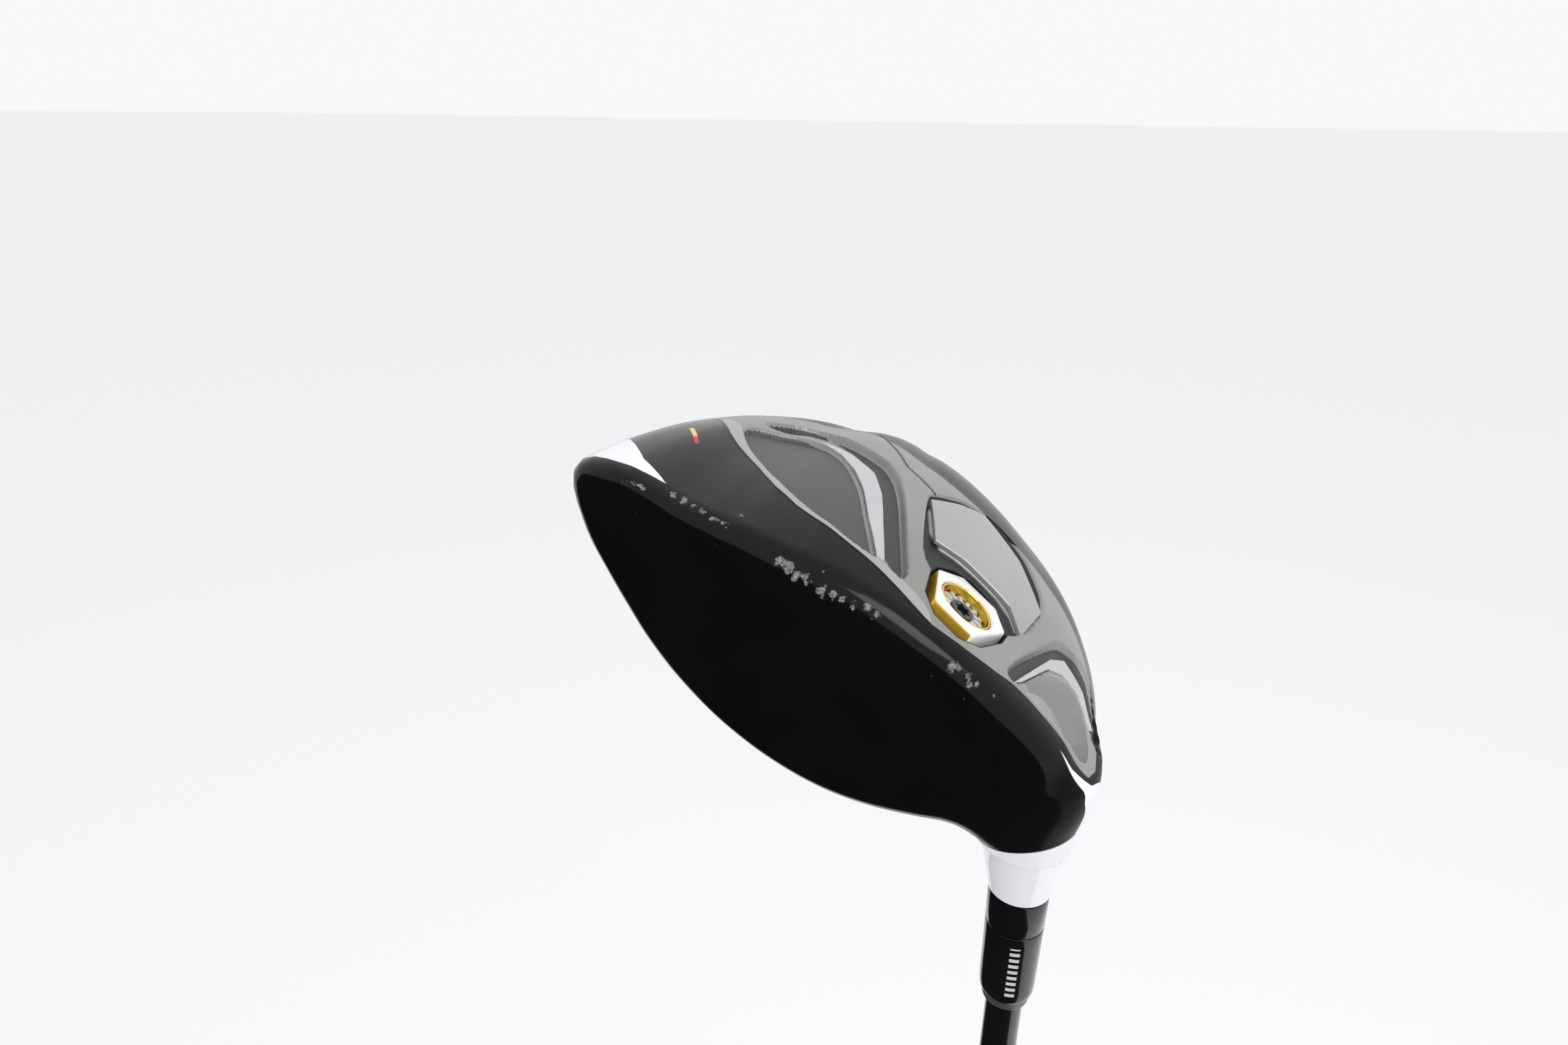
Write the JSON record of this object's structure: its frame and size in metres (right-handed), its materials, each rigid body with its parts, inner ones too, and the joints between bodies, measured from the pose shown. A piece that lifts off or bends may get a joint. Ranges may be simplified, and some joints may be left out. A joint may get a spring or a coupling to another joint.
{
  "type": "golf driver",
  "caption": "Left-handed adjustable golf driver: hollow rounded head with a screw-in sole weight, removable shaft in a loft sleeve, slim black shaft and tapered rubber grip.",
  "frame": {"origin": "centre of the flat butt end of the grip", "axes": "+Z along the shaft from the butt to the head, -Y the way the face looks, +X to the heel side"},
  "size_m": [0.1117, 0.1097, 1.1931],
  "materials": {
    "grip_rubber": "matt, moulded",
    "tape": "matt",
    "shaft_black": "clear-coated carbon composite",
    "plug": "raw",
    "gloss_black": "polished",
    "ring_grey": "anodised grey",
    "head_metal": "white, black and satin grey paint over cast titanium",
    "face_black": "mirror-gloss black",
    "crown_carbon": "clear-coated carbon composite",
    "steel": "machined",
    "black_plastic": "moulded",
    "satin_grey": "satin",
    "accent_silver": "satin silver",
    "weight_white": "gloss white with gold sides",
    "gold": "polished, gold colour"
  },
  "bodies": {
    "club_shaft": {"grip_cap": "grip_rubber", "grip": "grip_rubber", "grip_tape": "tape", "shaft": "shaft_black", "shaft_tip_plug": "plug", "ferrule": "gloss_black", "ferrule_ring": "ring_grey", "loft_sleeve": "gloss_black"},
    "head": {"head_body": "head_metal", "face_plate": "face_black", "crown_panel": "crown_carbon", "hosel_washer": "steel", "screw_retainer": "black_plastic", "weight_insert": "steel", "sole_badge": "satin_grey", "toe_accent": "accent_silver", "heel_accent": "accent_silver"},
    "hosel_screw": {"hosel_screw": "steel"},
    "sole_weight": {"weight_housing": "weight_white", "weight_ring": "gold"},
    "weight_screw": {"weight_screw": "steel", "weight_clip": "steel"}
  },
  "joints": [
    {"name": "head_release", "type": "slide", "parent": "club_shaft", "child": "head", "axis": [0, 0, 1], "range_m": [0, 0.008]},
    {"name": "hosel_screw_turn", "type": "hinge", "parent": "head", "child": "hosel_screw", "pos_m": [0, 0, 1.142], "axis": [0, 0, 1], "range_deg": [0, 3600]},
    {"name": "weight_lift", "type": "slide", "parent": "head", "child": "sole_weight", "axis": [0.5699, 0.05, 0.8202], "range_m": [0, 0.0072]},
    {"name": "weight_screw_turn", "type": "hinge", "parent": "sole_weight", "child": "weight_screw", "pos_m": [-0.01653, -0.00028, 1.17022], "axis": [0.5699, 0.05, 0.8202], "range_deg": [0, 3240]}
  ],
  "couplings": [
    {"joint": "hosel_screw_turn", "follows": "head_release", "rad_per_m": 7853.9},
    {"joint": "weight_screw_turn", "follows": "weight_lift", "rad_per_m": 7853.9}
  ]
}
